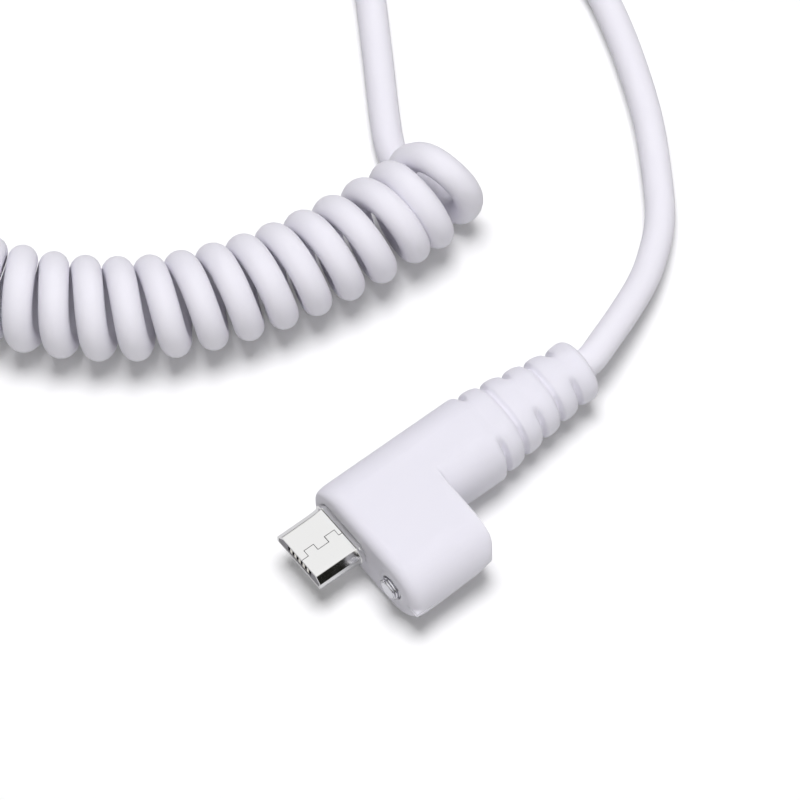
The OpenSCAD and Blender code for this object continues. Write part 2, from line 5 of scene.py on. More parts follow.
import bmesh
import bpy
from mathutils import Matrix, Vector


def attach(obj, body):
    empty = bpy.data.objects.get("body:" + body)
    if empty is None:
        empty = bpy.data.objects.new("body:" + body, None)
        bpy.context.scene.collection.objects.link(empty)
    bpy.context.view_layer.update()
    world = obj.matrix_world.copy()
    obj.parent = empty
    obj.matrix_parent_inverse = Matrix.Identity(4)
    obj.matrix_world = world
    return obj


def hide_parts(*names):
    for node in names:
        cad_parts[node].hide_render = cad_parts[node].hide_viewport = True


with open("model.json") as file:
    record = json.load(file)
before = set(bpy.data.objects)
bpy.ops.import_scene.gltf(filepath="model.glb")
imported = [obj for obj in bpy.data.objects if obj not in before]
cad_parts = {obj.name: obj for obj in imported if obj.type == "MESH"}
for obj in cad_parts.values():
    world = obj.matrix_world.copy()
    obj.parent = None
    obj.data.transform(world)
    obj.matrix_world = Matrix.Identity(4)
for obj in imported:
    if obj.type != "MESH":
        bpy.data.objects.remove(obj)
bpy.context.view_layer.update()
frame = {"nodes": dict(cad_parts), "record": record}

# Lengths in this file are in millimetres, and MM turns them into metres
MM = 0.001
# Radius of the cord, radius of the curl's centre line, and height of the curl's middle
CORD_R = 1.5
TURN_R = 3.74
COIL_Z = CORD_R + TURN_R

# Places of the plug on the table, in millimetres: its front face, the middle line and the
# height of the shell and of the lock screw, and where the cord leaves the strain relief
FRONT = -12.05
PLUG_X, PLUG_Z = -3.525, 4.2
SCREW = (4.325, 4.3)
OUTLET = (-3.525, 17.4, 4.0)

# The photograph's view: straight lines of sight, from above and beside the lock screw
VIEW_AZ, VIEW_EL = 52.0, 62.0
VIEW_WIDTH = 77.67
VIEW_CENTRE = (-11.565, 1.28, 3.85)
SENSOR, LENS = 36, 1200
CLIP_NEAR, CLIP_FAR = 0.1, 20


def add_object(name, data):
    """A new object in the scene, at the origin."""
    obj = bpy.data.objects.new(name, data)
    bpy.context.scene.collection.objects.link(obj)
    return obj


# ---------------------------------------------------------------- camera

def make_camera():
    """A long lens far away, so that lines of sight are nearly parallel."""
    cam = bpy.data.cameras.new("table_camera")
    obj = add_object("table_camera", cam)
    cam.sensor_width = SENSOR
    cam.lens = LENS
    az, el = math.radians(VIEW_AZ), math.radians(VIEW_EL)
    back = Vector((math.sin(az) * math.cos(el), -math.cos(az) * math.cos(el), math.sin(el)))
    far = VIEW_WIDTH * MM / 2 / (cam.sensor_width / 2 / cam.lens)
    obj.location = Vector(VIEW_CENTRE) * MM + back * far
    obj.rotation_mode = "QUATERNION"
    obj.rotation_quaternion = (-back).to_track_quat("-Z", "Y")
    cam.clip_start, cam.clip_end = CLIP_NEAR, CLIP_FAR
    bpy.context.scene.camera = obj


# ---------------------------------------------------------------- nodes

def feed(tree, socket, value):
    """Links a socket to another node's output, or gives it a plain value."""
    if hasattr(value, "is_output"):
        tree.links.new(value, socket)
    else:
        socket.default_value = value


def math_node(tree, operation, a, b=0.0, c=0.0):
    """One step of arithmetic."""
    node = tree.nodes.new("ShaderNodeMath")
    node.operation = operation
    for socket, value in zip(node.inputs, (a, b, c)):
        feed(tree, socket, value)
    return node.outputs[0]


def mix_colours(tree, factor, first, second):
    """The first colour where the factor is 0, the second where it is 1."""
    mix = tree.nodes.new("ShaderNodeMix")
    mix.data_type = "RGBA"
    tree.links.new(factor, mix.inputs["Factor"])
    ends = [s for s in mix.inputs if s.type == "RGBA"]
    feed(tree, ends[0], first)
    feed(tree, ends[1], second)
    return [s for s in mix.outputs if s.type == "RGBA"][0]


# ---------------------------------------------------------------- geometry nodes

def form_tree(name, inputs):
    """An empty tree with named inputs; returns it with its start and end nodes."""
    tree = bpy.data.node_groups.new(name, "GeometryNodeTree")
    tree.interface.new_socket("Geometry", in_out="INPUT", socket_type="NodeSocketGeometry")
    for label, kind in inputs:
        tree.interface.new_socket(label, in_out="INPUT", socket_type=kind)
    tree.interface.new_socket("Material", in_out="INPUT", socket_type="NodeSocketMaterial")
    tree.interface.new_socket("Geometry", in_out="OUTPUT", socket_type="NodeSocketGeometry")
    return tree, tree.nodes.new("NodeGroupInput"), tree.nodes.new("NodeGroupOutput")


def close_tree(tree, start, end, geometry):
    """Real geometry, smooth, in the chosen material."""
    real = tree.nodes.new("GeometryNodeRealizeInstances")
    smooth_shade = tree.nodes.new("GeometryNodeSetShadeSmooth")
    paint = tree.nodes.new("GeometryNodeSetMaterial")
    tree.links.new(geometry, real.inputs["Geometry"])
    tree.links.new(real.outputs["Geometry"], smooth_shade.inputs["Geometry"])
    tree.links.new(smooth_shade.outputs["Geometry"], paint.inputs["Geometry"])
    tree.links.new(start.outputs["Material"], paint.inputs["Material"])
    tree.links.new(paint.outputs["Geometry"], end.inputs["Geometry"])


def grow(name, tree, values, mesh=None):
    """Runs a tree and keeps what it makes as a plain mesh."""
    obj = add_object(name, mesh or bpy.data.meshes.new(name))
    form = obj.modifiers.new("form", "NODES")
    form.node_group = tree
    for item in tree.interface.items_tree:
        if item.in_out == "INPUT" and item.name in values:
            form[item.identifier] = values[item.name]
    graph = bpy.context.evaluated_depsgraph_get()
    made = bpy.data.meshes.new_from_object(obj.evaluated_get(graph), depsgraph=graph)
    obj.modifiers.remove(form)
    obj.data = made
    return obj


def tube_tree():
    """A round tube along the mesh line that it is given."""
    tree, start, end = form_tree(
        "cord_tube", [("Radius", "NodeSocketFloat"), ("Sides", "NodeSocketInt")])
    path = tree.nodes.new("GeometryNodeMeshToCurve")
    ring = tree.nodes.new("GeometryNodeCurvePrimitiveCircle")
    sweep = tree.nodes.new("GeometryNodeCurveToMesh")
    tree.links.new(start.outputs["Geometry"], path.inputs["Mesh"])
    tree.links.new(start.outputs["Radius"], ring.inputs["Radius"])
    tree.links.new(start.outputs["Sides"], ring.inputs["Resolution"])
    tree.links.new(path.outputs["Curve"], sweep.inputs["Curve"])
    tree.links.new(ring.outputs["Curve"], sweep.inputs["Profile Curve"])
    sweep.inputs["Fill Caps"].default_value = True
    close_tree(tree, start, end, sweep.outputs["Mesh"])
    return tree


# Points per turn of the thread, sides of its ridge, and how fast its ends run out
THREAD_POINTS, RIDGE_SIDES, RUN_OUT = 48, 4, 7.0


def thread_tree():
    """A ridge wound round a screw, its ends run out to nothing."""
    tree, start, end = form_tree(
        "screw_thread", [("Core Radius", "NodeSocketFloat"), ("Pitch", "NodeSocketFloat"),
                         ("Turns", "NodeSocketFloat"), ("Ridge", "NodeSocketFloat"),
                         ("Place", "NodeSocketVector")])
    spiral = tree.nodes.new("GeometryNodeCurveSpiral")
    spiral.inputs["Resolution"].default_value = THREAD_POINTS
    for label in ("Start Radius", "End Radius"):
        tree.links.new(start.outputs["Core Radius"], spiral.inputs[label])
    tree.links.new(start.outputs["Turns"], spiral.inputs["Rotations"])
    tree.links.new(math_node(tree, "MULTIPLY", start.outputs["Pitch"], start.outputs["Turns"]),
                   spiral.inputs["Height"])
    along = tree.nodes.new("GeometryNodeSplineParameter")
    middle = math_node(tree, "ABSOLUTE", math_node(tree, "SUBTRACT", along.outputs["Factor"], 0.5))
    run_out = math_node(tree, "MULTIPLY", math_node(tree, "SUBTRACT", 0.5, middle), RUN_OUT)
    ridge = tree.nodes.new("GeometryNodeCurvePrimitiveCircle")
    ridge.inputs["Resolution"].default_value = RIDGE_SIDES
    tree.links.new(start.outputs["Ridge"], ridge.inputs["Radius"])
    sweep = tree.nodes.new("GeometryNodeCurveToMesh")
    tree.links.new(spiral.outputs["Curve"], sweep.inputs["Curve"])
    tree.links.new(ridge.outputs["Curve"], sweep.inputs["Profile Curve"])
    tree.links.new(math_node(tree, "MINIMUM", run_out, 1.0), sweep.inputs["Scale"])
    sweep.inputs["Fill Caps"].default_value = True
    turn = tree.nodes.new("GeometryNodeTransform")
    turn.inputs["Rotation"].default_value = (math.radians(90), 0, 0)
    tree.links.new(sweep.outputs["Mesh"], turn.inputs["Geometry"])
    tree.links.new(start.outputs["Place"], turn.inputs["Translation"])
    close_tree(tree, start, end, turn.outputs["Geometry"])
    return tree


# ---------------------------------------------------------------- the cord

# Route from the strain relief round to the near end of the curly stretch
LEAD = [OUTLET, (-3.525, 18.0, 4.0), (-3.57, 18.6, 4.0), (-4.5, 21, 3.8), (-5.7, 24, 3.4),
        (-7.6, 28, 2.7), (-9.6, 31, 2.2), (-12.4, 34.1, 1.7), (-16.2, 36.8, 1.5),
        (-21.8, 40.1, 1.5), (-27.2, 42.5, 1.5), (-32.2, 44.3, 1.5), (-37.2, 45.6, 1.5),
        (-42.2, 45.8, 1.5), (-47, 44.4, 1.5), (-51, 41.2, 1.5), (-53.2, 36.8, 1.5),
        (-53.4, 32, 1.5), (-51.8, 28.8, 1.5), (-48.6, 26.7, 1.5), (-43.8, 23.7, 1.5),
        (-38.4, 20.3, 1.5), (-34.8, 18.3, 1.5), (-32.6, 18.0, 1.5), (-30.8, 18.7, 1.5),
        (-28.6, 19.4, 1.5)]
# The curl's near end turn is looser and lies open, up from the table, over and down the back
END_TURN = [(-26.4, 19.2, 1.6), (-25.1, 19.2, 2.4), (-24.4, 19.6, 4.0), (-24.35, 19.7, 5.6),
            (-24.8, 19.4, 7.4), (-25.9, 18.9, 8.8), (-27.4, 18.4, 9.4), (-28.8, 18.1, 9.0),
            (-30.1, 17.7, 7.8), (-31.1, 17.0, 6.0), (-30.8, 16.5, 4.0), (-29.4, 16.2, 2.3)]
# Middle of the curly stretch at every second turn, from its near end
COIL = [(-27.2, 14.7), (-27.6, 8), (-28.7, 1.3), (-30.6, -5.1), (-33.5, -11.3),
        (-37.6, -16.8), (-42.6, -21.4), (-48.4, -25), (-55, -27.2), (-61.9, -27.4),
        (-68.5, -25.8), (-74.4, -22.4), (-79.2, -17.6), (-82.6, -11.8)]
# Distance between turns, points in a turn, and points of the middle line in a turn
PITCH = 3.35
TURN_POINTS = 16
MIDDLE_POINTS = 20
# Route from the far end of the curly stretch to the far plug
FAR_END = (-74.7, 51.0, 3.9)
TAIL = [(-86, -11.4, 1.5), (-88.2, -9.6, 1.5), (-89.2, -6.4, 1.5), (-89.2, -1, 1.5),
        (-89, 6, 1.5), (-89, 14, 1.5), (-89.2, 22, 1.5), (-89.2, 30, 1.5), (-89.2, 38, 1.5),
        (-88.8, 46, 1.6), (-87, 53, 1.9), (-83, 57.4, 2.6), (-78.2, 57.8, 3.3),
        (-75.5, 55.2, 3.8), (-74.7, 52.4, 3.9), (-74.7, 51.7, 3.9), FAR_END]
# Steps between two points of the route, distance between points of the finished line, times
# that it is evened out, and sides of the cord's tube
ROUTE_STEPS, LINE_GAP, LINE_PASSES, CORD_SIDES = 8, 0.5, 4, 20


def smooth(points, steps):
    """Points of a smooth curve through a row of points."""
    pts = [Vector(p) for p in points]
    out = []
    for i in range(len(pts) - 1):
        a, b = pts[max(i - 1, 0)], pts[i]
        c, d = pts[i + 1], pts[min(i + 2, len(pts) - 1)]
        for k in range(steps):
            t = k / steps
            out.append(0.5 * (2 * b + (c - a) * t + (2 * a - 5 * b + 4 * c - d) * t * t
                              + (3 * b - a - 3 * c + d) * t ** 3))
    return out + [pts[-1]]


def even(points, gap):
    """The same line with its points an equal distance apart."""
    out, left = [points[0].copy()], gap
    for a, b in zip(points, points[1:]):
        here, run = a.copy(), (b - a).length
        while run >= left:
            here = here.lerp(b, left / run)
            out.append(here.copy())
            run, left = (b - here).length, gap
        left -= run
    return out[:-1] + [points[-1].copy()]


def curly_points():
    """The curly stretch: a right-handed helix about its middle line, near end first."""
    middle = smooth([(x, y, 0) for x, y in COIL], 2 * MIDDLE_POINTS)
    last = len(middle) - 1
    out = []
    for k in range(int((2 * (len(COIL) - 1) + 1) * TURN_POINTS) + 1):
        turns = k / TURN_POINTS - 0.5
        spot = min(max(turns * MIDDLE_POINTS, 0), last)
        i = min(int(spot), last - 1)
        mid = middle[i].lerp(middle[i + 1], spot - i)
        ahead = (middle[max(i - 1, 0)] - middle[min(i + 2, last)]).normalized()
        mid -= ahead * (turns - spot / MIDDLE_POINTS) * PITCH
        side = Vector((-ahead.y, ahead.x, 0))
        angle = -2 * math.pi * turns
        out.append(mid + TURN_R * (math.cos(angle) * Vector((0, 0, 1)) - math.sin(angle) * side)
                   + Vector((0, 0, COIL_Z)))
    return out


def cord_line():
    """The whole cord as one smooth line that rests on the table."""
    points = even(smooth([Vector(p) for p in LEAD + END_TURN] + curly_points()
                         + [Vector(p) for p in TAIL], ROUTE_STEPS), LINE_GAP)
    for _ in range(LINE_PASSES):
        points = [points[0]] + [0.25 * a + 0.5 * b + 0.25 * c for a, b, c in
                                zip(points, points[1:], points[2:])] + [points[-1]]
    for p in points:
        p.z = max(p.z, CORD_R)
    return [p * MM for p in points]


def make_cord():
    """The cord in one piece, with the far plug's pieces that lie at its end."""
    line = cord_line()
    mesh = bpy.data.meshes.new("cord")
    mesh.from_pydata(line, [(i, i + 1) for i in range(len(line) - 1)], [])
    cord = grow("cord", tube_tree(), {"Radius": CORD_R * MM, "Sides": CORD_SIDES,
                                      "Material": FINISHES["jacket"]}, mesh)
    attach(cord, "cable")
    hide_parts("plug_lead", "coil_cord", "tail_lead")
    far_skins = [smooth_skin("far_body", "far_moulding", 40),
                 smooth_skin("far_shell", "far_plain_shell", 30)]


# ---------------------------------------------------------------- finishes

# Depth of the moulding's grain and of the plate's lines, and how deep light goes into the
# moulding, all in metres
GRAIN_DEPTH, PLATE_DEPTH, SOFT_DEPTH = 1.0e-5, 1.0e-6, 0.0009
MOULD_GLOSS = 0.35
# The insulator is grey beyond this far in front of the block, and painted black behind it: painted
# shade for the dark inside the plug's opening
PAINTED_SHADE_DEPTH = 5.2


def node_group(name, inputs, outputs):
    """An empty shader group; returns it with its start and end nodes."""
    group = bpy.data.node_groups.new(name, "ShaderNodeTree")
    for label, kind, value in inputs:
        socket = group.interface.new_socket(label, in_out="INPUT", socket_type=kind)
        if value is not None:
            socket.default_value = value
    for label, kind in outputs:
        group.interface.new_socket(label, in_out="OUTPUT", socket_type=kind)
    return group, group.nodes.new("NodeGroupInput"), group.nodes.new("NodeGroupOutput")


def noise(tree, vector, scale, detail):
    """Soft random spots, scale to the metre."""
    node = tree.nodes.new("ShaderNodeTexNoise")
    node.inputs["Scale"].default_value = scale
    node.inputs["Detail"].default_value = detail
    tree.links.new(vector, node.inputs["Vector"])
    return node.outputs["Fac"]


def mould_skin_group():
    """Skin of a soft moulding: fine grain, a slow ripple and slight changes of tone."""
    group, start, end = node_group(
        "mould_skin",
        [("Vector", "NodeSocketVector", None), ("Grain", "NodeSocketFloat", 0.5),
         ("Ripple", "NodeSocketFloat", 0.5), ("Colour", "NodeSocketColor", None),
         ("Tint", "NodeSocketFloat", 0.03), ("Roughness", "NodeSocketFloat", 0.45)],
        [("Colour", "NodeSocketColor"), ("Roughness", "NodeSocketFloat"),
         ("Height", "NodeSocketFloat")])
    vector = start.outputs["Vector"]
    fine = noise(group, vector, 9000.0, 1.0)
    slow = noise(group, vector, 420.0, 2.0)
    tone = noise(group, vector, 160.0, 3.0)
    grain = math_node(group, "MULTIPLY", fine, start.outputs["Grain"])
    ripple = math_node(group, "MULTIPLY", slow, start.outputs["Ripple"])
    group.links.new(math_node(group, "ADD", grain, ripple), end.inputs["Height"])
    hsv = group.nodes.new("ShaderNodeHueSaturation")
    shade = math_node(group, "SUBTRACT", tone, 0.5)
    shade = math_node(group, "MULTIPLY_ADD", shade, start.outputs["Tint"], 1.0)
    group.links.new(shade, hsv.inputs["Value"])
    group.links.new(start.outputs["Colour"], hsv.inputs["Color"])
    group.links.new(hsv.outputs["Color"], end.inputs["Colour"])
    rough = math_node(group, "SUBTRACT", slow, 0.5)
    rough = math_node(group, "MULTIPLY_ADD", rough, 0.12, start.outputs["Roughness"])
    group.links.new(rough, end.inputs["Roughness"])
    return group


def plating_group():
    """Thin bright plate: faint drawing lines along the sheet and small smears."""
    group, start, end = node_group(
        "plating",
        [("Vector", "NodeSocketVector", None), ("Lines", "NodeSocketFloat", 0.3),
         ("Roughness", "NodeSocketFloat", 0.2)],
        [("Roughness", "NodeSocketFloat"), ("Height", "NodeSocketFloat")])
    stretch = group.nodes.new("ShaderNodeMapping")
    stretch.inputs["Scale"].default_value = (1.0, 0.06, 1.0)
    group.links.new(start.outputs["Vector"], stretch.inputs["Vector"])
    lines = noise(group, stretch.outputs["Vector"], 16000.0, 2.0)
    smear = noise(group, start.outputs["Vector"], 900.0, 3.0)
    height = math_node(group, "MULTIPLY", lines, start.outputs["Lines"])
    group.links.new(height, end.inputs["Height"])
    rough = math_node(group, "SUBTRACT", smear, 0.45)
    rough = math_node(group, "MULTIPLY_ADD", rough, 0.2, start.outputs["Roughness"])
    group.links.new(rough, end.inputs["Roughness"])
    return group


GROUPS = {"skin": mould_skin_group(), "plate": plating_group()}


def material(name):
    """A new material, with its nodes, its shader and the place on the object."""
    mat = bpy.data.materials.new(name)
    mat.use_nodes = True
    tree = mat.node_tree
    shader = tree.nodes["Principled BSDF"]
    where = tree.nodes.new("ShaderNodeTexCoord").outputs["Object"]
    return mat, tree, shader, where


def bump(tree, height, shader, distance):
    """Gives a shader fine relief from a height."""
    node = tree.nodes.new("ShaderNodeBump")
    node.inputs["Distance"].default_value = distance
    node.inputs["Strength"].default_value = 1.0
    tree.links.new(height, node.inputs["Height"])
    tree.links.new(node.outputs["Normal"], shader.inputs["Normal"])


def moulded(name, colour, roughness, grain=0.5, ripple=0.5, tint=0.03, soft=0.0):
    """A moulded plastic; soft is how much light passes through its skin."""
    mat, tree, shader, where = material(name)
    group = tree.nodes.new("ShaderNodeGroup")
    group.node_tree = GROUPS["skin"]
    tree.links.new(where, group.inputs["Vector"])
    for label, value in (("Grain", grain), ("Ripple", ripple), ("Tint", tint),
                         ("Roughness", roughness), ("Colour", (*colour, 1))):
        group.inputs[label].default_value = value
    tree.links.new(group.outputs["Colour"], shader.inputs["Base Color"])
    tree.links.new(group.outputs["Roughness"], shader.inputs["Roughness"])
    bump(tree, group.outputs["Height"], shader, GRAIN_DEPTH)
    shader.inputs["Specular IOR Level"].default_value = MOULD_GLOSS
    shader.inputs["Subsurface Weight"].default_value = soft
    shader.inputs["Subsurface Radius"].default_value = (1, 1, 1)
    shader.inputs["Subsurface Scale"].default_value = SOFT_DEPTH
    return mat


def plated(name, colour, roughness, lines=0.3):
    """A bright metal plate."""
    mat, tree, shader, where = material(name)
    group = tree.nodes.new("ShaderNodeGroup")
    group.node_tree = GROUPS["plate"]
    tree.links.new(where, group.inputs["Vector"])
    group.inputs["Lines"].default_value = lines
    group.inputs["Roughness"].default_value = roughness
    tree.links.new(group.outputs["Roughness"], shader.inputs["Roughness"])
    bump(tree, group.outputs["Height"], shader, PLATE_DEPTH)
    shader.inputs["Base Color"].default_value = (*colour, 1)
    shader.inputs["Metallic"].default_value = 1.0
    return mat


def mouth_insulator(name, colour, painted_shade):
    """Grey at the plug's mouth, with black painted shade in the opening behind it."""
    mat = moulded(name, colour, 0.5, tint=0.1)
    tree = mat.node_tree
    shader = tree.nodes["Principled BSDF"]
    place = tree.nodes.new("ShaderNodeSeparateXYZ")
    tree.links.new(tree.nodes.new("ShaderNodeTexCoord").outputs["Object"], place.inputs["Vector"])
    # Painted shade: every face deeper than the mouth's front is coloured black, for the dark that
    # falls inside the deep opening
    painted_shade_mask = math_node(tree, "GREATER_THAN", place.outputs["Y"], (FRONT - PAINTED_SHADE_DEPTH) * MM)
    rim = shader.inputs["Base Color"].links[0].from_socket
    tree.links.new(mix_colours(tree, painted_shade_mask, rim, (*painted_shade, 1)), shader.inputs["Base Color"])
    return mat


FINISHES = {
    "moulding": moulded("lavender_moulding", (0.812, 0.799, 0.869), 0.42, soft=0.4),
    "jacket": moulded("lavender_jacket", (0.85, 0.836, 0.9), 0.46, grain=0.3, ripple=0.2,
                      soft=0.5),
    "plated_shell": plated("nickel_shell", (0.90, 0.90, 0.90), 0.1),
    "screw_steel": plated("nickel_screw", (0.84, 0.84, 0.88), 0.14, lines=0.2),
    # The insulator is grey; its black inside is painted shade
    "insulator": mouth_insulator("grey_insulator_painted_shade", (0.34, 0.33, 0.36), (0.004, 0.004, 0.004)),
    "white_insulator": moulded("white_insulator", (0.83, 0.83, 0.81), 0.4),
    "contacts": plated("gold_contacts", (0.95, 0.92, 0.83), 0.25),
    "inner_moulding": moulded("natural_moulding", (0.80, 0.78, 0.70), 0.5),
    "crimp_brass": plated("crimp_brass", (0.62, 0.48, 0.25), 0.35),
    "wire_red": moulded("red_wire", (0.45, 0.02, 0.02), 0.45),
    "wire_white": moulded("white_wire", (0.8, 0.8, 0.8), 0.45),
    "wire_green": moulded("green_wire", (0.02, 0.22, 0.06), 0.45),
    "wire_black": moulded("black_wire", (0.015, 0.015, 0.015), 0.45),
}
SLOTS = {part["node"]: part["material_slot"] for part in frame["record"]["subparts"]}


def dress_nodes():
    """Gives every solid of the frame its finish."""
    for node, slot in SLOTS.items():
        mesh = frame["nodes"][node].data
        mesh.materials.clear()
        mesh.materials.append(FINISHES[slot])


def finish_piece(obj, slot, body="cable"):
    """Gives a new piece its finish and its place on a body."""
    obj.data.materials.clear()
    obj.data.materials.append(FINISHES[slot])
    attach(obj, body)


# ---------------------------------------------------------------- plug, shell and screw

# Points closer than this, in metres, are one; faces within this angle, in degrees, are one
WELD, FLAT_ANGLE = 2e-6, 0.3
# How much the large faces lead the shading
FACE_WEIGHT = 60


def smooth_skin(node, name, corner, body="cable", shape=None):
    """The node's own form as one closed skin, smooth where it is round and crisp at edges."""
    mesh = frame["nodes"][node].data.copy()
    mesh.name = name
    bm = bmesh.new()
    bm.from_mesh(mesh)
    bmesh.ops.remove_doubles(bm, verts=bm.verts, dist=WELD)
    if shape:
        shape(bm)
    bmesh.ops.dissolve_limit(bm, angle_limit=math.radians(FLAT_ANGLE), verts=bm.verts,
                             edges=bm.edges)
    bmesh.ops.recalc_face_normals(bm, faces=bm.faces)
    bm.to_mesh(mesh)
    bm.free()
    for face in mesh.polygons:
        face.use_smooth = True
    mesh.set_sharp_from_angle(angle=math.radians(corner))
    obj = add_object(name, mesh)
    weight = obj.modifiers.new("face_weight", "WEIGHTED_NORMAL")
    weight.keep_sharp = True
    weight.weight = FACE_WEIGHT
    finish_piece(obj, SLOTS[node], body)
    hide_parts(node)
    return obj


def moulded_skin(node, name, grid, passes, form=None):
    """The node's own form as one soft skin of even small faces, its edges slightly rounded."""
    mesh = frame["nodes"][node].data.copy()
    bm = bmesh.new()
    bm.from_mesh(mesh)
    bmesh.ops.remove_doubles(bm, verts=bm.verts, dist=WELD)
    bm.to_mesh(mesh)
    bm.free()
    obj = add_object(name, mesh)
    even_faces = obj.modifiers.new("even_faces", "REMESH")
    even_faces.mode, even_faces.voxel_size = "VOXEL", grid * MM
    even_faces.use_smooth_shade = True
    relax = obj.modifiers.new("relax", "SMOOTH")
    relax.factor, relax.iterations = 0.5, passes
    graph = bpy.context.evaluated_depsgraph_get()
    obj.data = bpy.data.meshes.new_from_object(obj.evaluated_get(graph), depsgraph=graph)
    obj.data.name = name
    obj.modifiers.clear()
    if form:
        form(obj.data)
    finish_piece(obj, SLOTS[node])
    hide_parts(node)


# Rows of the shell's flare, in millimetres from the block: where the solid has them, and
# where this shell has them, so that it stays straight until close to the block
FLARE = [(-2.8, -2.8), (-1.7, -1.35), (-1.15, -0.92), (-0.8, -0.62), (-0.5, -0.42),
         (-0.28, -0.25), (-0.14, -0.12), (0.0, 0.0)]


# Height of the shell's flat top above its middle, and how much higher it is in the collar
SHELL_TOP, TOP_STEP = 0.9, 0.1


def tighten_flare(bm):
    """Keeps the shell's top straight until it meets the collar."""
    for vert in bm.verts:
        y = vert.co.y / MM - FRONT
        for (a, c), (b, d) in zip(FLARE, FLARE[1:]):
            if a <= y < b:
                high = min(max((vert.co.z / MM - PLUG_Z + 0.3) / 0.6, 0), 1)
                y += (c + (d - c) * (y - a) / (b - a) - y) * high
                vert.co.y = (FRONT + y) * MM
                break
        if -1.5 < y < 0.5 and vert.co.z > (PLUG_Z + SHELL_TOP - 0.01) * MM:
            step = min(max((y + 0.4) / 0.1, 0), 1)
            vert.co.z = (PLUG_Z + SHELL_TOP + TOP_STEP * step) * MM


# The collar's outline about the shell's middle, half its width and height, and its rows:
# the place from the block's front and how far the outline is drawn in there
COLLAR = [(3.64, 0.05), (2.78, 1.05), (-2.78, 1.05), (-3.64, 0.05),
          (-3.64, -0.9), (-3.35, -1.19), (3.35, -1.19), (3.64, -0.9)]
COLLAR_HALF_W, COLLAR_HALF_H = 3.64, 1.1
COLLAR_ROWS = [(-0.5, 0.2), (-0.5, 0.06), (-0.44, 0), (0.1, 0)]


def make_collar():
    """The low band round the shell where it meets the block."""
    rows = []
    for y, inset in COLLAR_ROWS:
        wide, high = 1 - inset / COLLAR_HALF_W, 1 - inset / COLLAR_HALF_H
        rows += [Vector((PLUG_X + x * wide, FRONT + y, PLUG_Z + z * high)) * MM
                 for x, z in COLLAR]
    n = len(COLLAR)
    faces = [(n * k + i, n * k + (i + 1) % n, n * k + n + (i + 1) % n, n * k + n + i)
             for k in range(len(COLLAR_ROWS) - 1) for i in range(n)]
    mesh = bpy.data.meshes.new("shell_collar")
    mesh.from_pydata(rows, [], faces + [tuple(range(n))[::-1], tuple(range(3 * n, 4 * n))])
    finish_piece(add_object("shell_collar", mesh), "plated_shell")


# Places of the front faces of the insulator and the contacts from the block's front, and
# how far the contacts are lifted and widened; a point this near an end, in metres, is on it
INSULATOR_Y, TIP_Y = -5.3, -5.28
TIP_RISE, TIP_WIDEN = 0.3, 1.25
END = 2e-5


def bring_forward(y, rise=0.0, widen=1.0):
    """A change of form: moves the front face to y from the block's, lifts the top, widens."""
    def shape(bm):
        front = min(vert.co.y for vert in bm.verts)
        middle = sum(vert.co.x for vert in bm.verts) / len(bm.verts)
        top = max(vert.co.z for vert in bm.verts)
        for vert in bm.verts:
            if vert.co.z > top - END:
                vert.co.z += rise * MM
            vert.co.x = middle + (vert.co.x - middle) * widen
        for vert in bm.verts:
            if vert.co.y < front + END:
                vert.co.y = (FRONT + y) * MM
    return shape


# The block's ear: its back end, the height of its parting line, and the middle and radius
# of its rounding
EAR_BACK, EAR_MID, EAR_X, EAR_R = -1.9, 3.85, 4.245, 3.85
# How far the ear is drawn in along its length and the power of that curve, and the size of
# the rounding at its back
DRAW_IN, DRAW_POWER = 0.45, 1.5
BACK_ROUND, BACK_LENGTH = 2.2, 2.6
# The screw's hole: depth of its narrowed mouth, radii between which the block is drawn in
# towards the screw, the width over which that fades, and how far the hole closes
MOUTH_IN, HOLE_FROM, HOLE_TO, HOLE_ZONE, HOLE_CLOSE = 1.2, 1.3, 1.95, 0.5, 0.145


def form_block(mesh):
    """Draws the ear in at its lower back corner and narrows the mouth of the screw's hole."""
    for vert in mesh.vertices:
        x, y, z = vert.co / MM
        dx, dz = x - EAR_X, z - EAR_MID
        low = math.degrees(math.atan2(-dz, dx))
        share = min(max((low + 10) / 30, 0), 1) * min(max((90 - low) / 30, 0), 1)
        if share > 0 and y < EAR_BACK + 0.3:
            run = min(max((y - FRONT) / (EAR_BACK - FRONT), 0), 1)
            near = min(max(1 - (EAR_BACK - y) / BACK_LENGTH, 0), 1)
            rounding = BACK_ROUND * (1 - math.sqrt(1 - 0.8 * near * near))
            limit = EAR_R - share * (DRAW_IN * run ** DRAW_POWER + rounding)
            r = math.hypot(dx, dz)
            if r > limit:
                vert.co.x = (EAR_X + dx * limit / r) * MM
                vert.co.z = (EAR_MID + dz * limit / r) * MM
        sx, sz = x - SCREW[0], z - SCREW[1]
        r = math.hypot(sx, sz)
        if y < FRONT + MOUTH_IN and HOLE_FROM < r < HOLE_TO:
            close = 1 - HOLE_CLOSE * min((HOLE_TO - r) / HOLE_ZONE, 1) / r
            vert.co.x = (SCREW[0] + sx * close) * MM
            vert.co.z = (SCREW[1] + sz * close) * MM


# The flash: its steps along the ear, how far it stands out at the side and at the front,
# how far it ends before the ear does, its depth into the block, and half its thickness there
# and at its edge
FLASH_STEPS = 24
FLASH_OUT, FLASH_FRONT, FLASH_SHORT, FLASH_DEPTH = 0.09, 0.03, 1.5, 1.5
FLASH_ROOT, FLASH_EDGE = 0.08, 0.02


